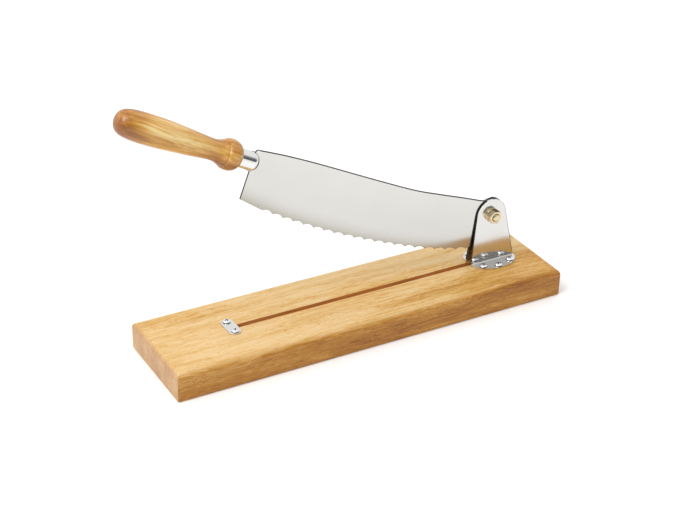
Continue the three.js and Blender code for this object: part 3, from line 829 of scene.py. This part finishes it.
ARM = Matrix.Translation(PIVOT) @ Matrix.Rotation(OPEN_ANGLE, 4, "Y")
BLADE_HALF = 1.0
BLADE_BORE = BOLT_RADIUS + 0.2
HEEL = (-297.2, -52.2)
TIP_LINE = [HEEL, (-248.3, -59.6), (-168.3, -62.3), (-88.3, -57.9), (-34.3, -50), (2.8, -40.2)]
SPINE = [
    (-298.2, -0.8),
    (-268.3, 1.1),
    (-228.3, 2),
    (-158.3, 1.9),
    (-106.3, 2.5),
    (-73.3, 5.3),
    (-43.3, 8.5),
    (-20.3, 10.6),
]
TOOTH_PITCH = 12.92
TOOTH_COUNT = 21
TOOTH_DEPTH = 2.2
TAIL_RADIUS = 14
GRIND = 3.0
GROUND_FROM = 0.9
SPINE_CHAMFER = 0.8
NEAR_EDGE = 0.12
FAR_EDGE = 1.2


def blade_outline():
    """Outline points with the width of the ground facet inside each: (x, z, inset)."""
    rim = 0.3
    tips = spline(TIP_LINE, 200)
    first = TIP_LINE[-1][0] - TOOTH_COUNT * TOOTH_PITCH
    outline = []
    for k in range(12):
        x = HEEL[0] + (first - HEEL[0]) * k / 12
        outline.append((x, at_x(tips, x), rim if k == 0 else 1.1))
    steps = 14
    for tooth in range(TOOTH_COUNT):
        x0 = first + tooth * TOOTH_PITCH
        x1 = x0 + TOOTH_PITCH
        start, end = Vector((x0, at_x(tips, x0))), Vector((x1, at_x(tips, x1)))
        chord = end - start
        inward = Vector((-chord.y, chord.x)).normalized()
        for k in range(steps):
            share = k / steps
            hump = 4 * share * (1 - share)
            point = start + chord * share + inward * (TOOTH_DEPTH * hump)
            outline.append((point.x, point.y, 1 + GRIND * hump))
    outline.append((TIP_LINE[-1][0], TIP_LINE[-1][1], 1))
    tail = 12
    tail_x = TAIL_RADIUS * math.cos(math.radians(tail))
    tail_z = -TAIL_RADIUS * math.sin(math.radians(tail))
    for k in range(1, 16):
        t = k / 16
        x = (1 - t) ** 2 * TIP_LINE[-1][0] + 2 * t * (1 - t) * 11 + t * t * tail_x
        z = (1 - t) ** 2 * TIP_LINE[-1][1] + 2 * t * (1 - t) * -36 + t * t * tail_z
        outline.append((x, z, rim))
    outline += [(x, z, rim) for x, z in arc(0, 0, TAIL_RADIUS, TAIL_RADIUS, -tail, 90 + tail, 28)]
    outline += [(x, z, SPINE_CHAMFER) for x, z in reversed(spline(SPINE, 120))]
    corner = [SPINE[0], (-300.9, -1.3), (-302, -3.6), (-302.2, -7.7)]
    outline += [(x, z, rim) for x, z in spline(corner, 12)[1:]]
    outline.append((-318, -7.5, rim))
    outline.append((-318, -18.5, rim))
    outline.append((-300.7, -18.7, rim))
    return outline


def make_blade():
    outline = blade_outline()
    count = len(outline)
    front_outer, back_outer, front_inner, back_inner = [], [], [], []
    for k, (x, z, inset) in enumerate(outline):
        before = Vector(outline[k - 1][:2])
        after = Vector(outline[(k + 1) % count][:2])
        along = (after - before).normalized()
        inward = Vector((-along.y, along.x))
        ground = inset > GROUND_FROM
        if ground:
            inward = Vector((0.1, 1)).normalized()
        point = Vector((x, z))
        inner = point + inward * inset
        rim = point + inward * min(inset, SPINE_CHAMFER)
        near = -BLADE_HALF + (NEAR_EDGE if ground else min(inset, 0.6))
        far = BLADE_HALF - (FAR_EDGE if ground else 0.3)
        front_inner.append((rim.x, -BLADE_HALF, rim.y))
        front_outer.append((x, near, z))
        back_outer.append((x, far, z))
        back_inner.append((inner.x, BLADE_HALF, inner.y))
    rings = [front_inner, front_outer, back_outer, back_inner]
    points = [p for ring in rings for p in ring]
    faces = [list(range(count)), list(range(3 * count, 4 * count))]
    for level in range(3):
        base = level * count
        for k in range(count):
            n = (k + 1) % count
            faces.append([base + k, base + n, base + count + n, base + count + k])
    blade = new_object("blade_plate", mesh_from("blade_plate", points, faces), ARM)
    bore = lathe("bore", [(0, -3), (BLADE_BORE, -3), (BLADE_BORE, 3), (0, 3)])
    bore.transform(Matrix.Rotation(math.radians(90), 4, "X"))
    combine(blade, bore, "DIFFERENCE")
    smooth(blade, 20)
    place(blade, "blade_arm", "blade_steel", BLADE_STEEL, "blade")
    blade.data.materials.append(PAINTED_SHADE_STEEL)
    # Faces pointing up along the spine chamfer and toward the left are painted near black: the unpolished
    # spine, darkened as painted shade.
    for face in blade.data.polygons:
        if abs(face.normal.y) < 0.85 and (face.normal.z > 0.35 or face.normal.x < -0.5):
            face.material_index = 1


# ---------------------------------------------------------------- handle and ferrule

HANDLE_LENGTH = 133
HANDLE_FRONT = (-318.7, -13)
HANDLE_TILT = 1.6
FERRULE_RADIUS = 9.7
FERRULE_LENGTH = 23
FERRULE_DOME = 8
CRIMP_FROM = 0.38
GRIP = [
    (0, 0),
    (6.4, 0.9),
    (10.4, 3.8),
    (12.8, 9.4),
    (14.1, 19),
    (14.5, 34),
    (14, 52),
    (12.7, 72),
    (11.3, 90),
    (10.4, 102),
    (10.8, 109),
    (13, 115.4),
]
BEAD = [
    (12.6, 116.2),
    (14.4, 118.4),
    (15.2, 122.5),
    (15, 126),
    (13.9, 129.5),
    (12, 132),
    (9.9, HANDLE_LENGTH),
]

ALONG_HANDLE = (
    ARM
    @ Matrix.Translation(Vector((HANDLE_FRONT[0], 0, HANDLE_FRONT[1])) * MM)
    @ Matrix.Rotation(math.radians(HANDLE_TILT + 90), 4, "Y")
    @ Matrix.Translation((0, 0, -HANDLE_LENGTH * MM))
)


def make_handle():
    profile = spline(GRIP, 90) + spline(BEAD, 36)
    profile += [(5, HANDLE_LENGTH), (0, HANDLE_LENGTH)]
    profile[0] = (0, 0)
    handle = new_object("handle_turning", lathe("handle_turning", profile, 128), ALONG_HANDLE)
    smooth(handle, 40)
    place(handle, "blade_arm", "handle_wood", HANDLE_WOOD, "handle")


def make_ferrule():
    start = HANDLE_LENGTH + 0.3
    dome = start + FERRULE_LENGTH - FERRULE_DOME
    profile = [(0, start), (FERRULE_RADIUS - 0.3, start), (FERRULE_RADIUS, start + 0.3)]
    profile += arc(0, dome, FERRULE_RADIUS, FERRULE_DOME, 0, 90, 24)
    profile[-1] = (0, dome + FERRULE_DOME)
    ferrule = new_object("ferrule_cap", lathe("ferrule_cap", profile, 96), ALONG_HANDLE)
    slit = prism("slit", [(-20, dome - 3), (20, dome - 3), (20, dome + 20), (-20, dome + 20)], -1.25, 1.25)
    combine(ferrule, slit, "DIFFERENCE")
    smooth(ferrule, 40)
    place(ferrule, "blade_arm", "ferrule_chrome", CHROME, "ferrule")
    ferrule.data.materials.append(PAINTED_SHADE_STEEL)
    # The crimped end of the dome is painted near black: a painted shade outline.
    for face in ferrule.data.polygons:
        if face.center.z / MM > dome + FERRULE_DOME * CRIMP_FROM:
            face.material_index = 1


# ---------------------------------------------------------------- setting


def make_floor():
    s = Surface("floor_paper", **{"IOR": 1.3, "Roughness": 0.9})
    cloud = s.noise(s.coordinates.outputs["Object"], scale=2.0, detail=1)
    s.colour(s.mix(cloud, (0.95, 0.95, 0.95, 1), (0.97, 0.97, 0.97, 1)))
    points = [(-6000, -6000, 0), (6000, -6000, 0), (6000, 6000, 0), (-6000, 6000, 0)]
    floor = new_object("floor", mesh_from("floor", points, [[0, 1, 2, 3]]))
    floor.location.z = -0.0005
    floor.data.materials.append(s.material)


def area_light(name, place_, aim, size, power):
    light = bpy.data.lights.new(name, "AREA")
    light.shape = "DISK"
    light.size = size
    light.energy = power
    lamp = bpy.data.objects.new(name, light)
    lamp.location = place_
    lamp.rotation_euler = (Vector(aim) - Vector(place_)).to_track_quat("-Z", "Y").to_euler()
    bpy.context.scene.collection.objects.link(lamp)


SKY = 1.0
DIM_HORIZON = 0.14
DIM_UPPER = 0.8


def make_lights():
    """A white tent, dim on the front side and most of all near the horizon, and one soft lamp."""
    world = bpy.data.worlds.new("studio")
    bpy.context.scene.world = world
    world.use_nodes = True
    tent = Nodes(world.node_tree)
    background = world.node_tree.nodes["Background"]
    split = tent.add("SeparateXYZ", Vector=tent.add("TexCoord").outputs["Generated"])
    front = tent.spread(split.outputs["Y"], -0.25, -0.6)
    level = tent.spread(split.outputs["Z"], 0.40, 0.52, DIM_HORIZON, DIM_UPPER)
    level = tent.math("MAXIMUM", level, tent.spread(split.outputs["Z"], 0.55, 0.75, 0.0, SKY))
    tone = tent.math("ADD", SKY, tent.math("MULTIPLY", front, tent.math("SUBTRACT", level, SKY)))
    tent.feed(background, "Color", tent.add("CombineXYZ", X=tone, Y=tone, Z=tone).outputs[0])
    background.inputs["Strength"].default_value = 1.0
    area_light("key", (-1.4, -0.4, 2.1), (0, 0, 0.05), 1.6, 32)
    bpy.context.scene.view_settings.view_transform = "Standard"


CAMERA_AZIMUTH = -29.6
CAMERA_ELEVATION = 29.6
CAMERA_ROLL = 1.2
CAMERA_PLACE = (-0.72693, -1.25051, 0.88807)
CAMERA_LENS = 87.424


def make_camera():
    azimuth, elevation = math.radians(CAMERA_AZIMUTH), math.radians(CAMERA_ELEVATION)
    back = Vector((
        math.sin(azimuth) * math.cos(elevation),
        -math.cos(azimuth) * math.cos(elevation),
        math.sin(elevation),
    ))
    right = Vector((0, 0, 1)).cross(back).normalized()
    up = back.cross(right)
    roll = Matrix.Rotation(math.radians(CAMERA_ROLL), 3, back)
    right, up = roll @ right, roll @ up
    camera = bpy.data.objects.new("camera", bpy.data.cameras.new("camera"))
    camera.data.lens = CAMERA_LENS
    camera.data.sensor_width = 36
    basis = Matrix((right, up, back)).transposed().to_4x4()
    camera.matrix_world = Matrix.Translation(CAMERA_PLACE) @ basis
    bpy.context.scene.collection.objects.link(camera)
    bpy.context.scene.camera = camera


make_camera()
make_lights()
make_floor()
make_board()
make_stop_plate()
make_screws()
make_bracket("bracket_front", -1)
make_bracket("bracket_rear", 1)
make_pivot()
make_blade()
make_handle()
make_ferrule()
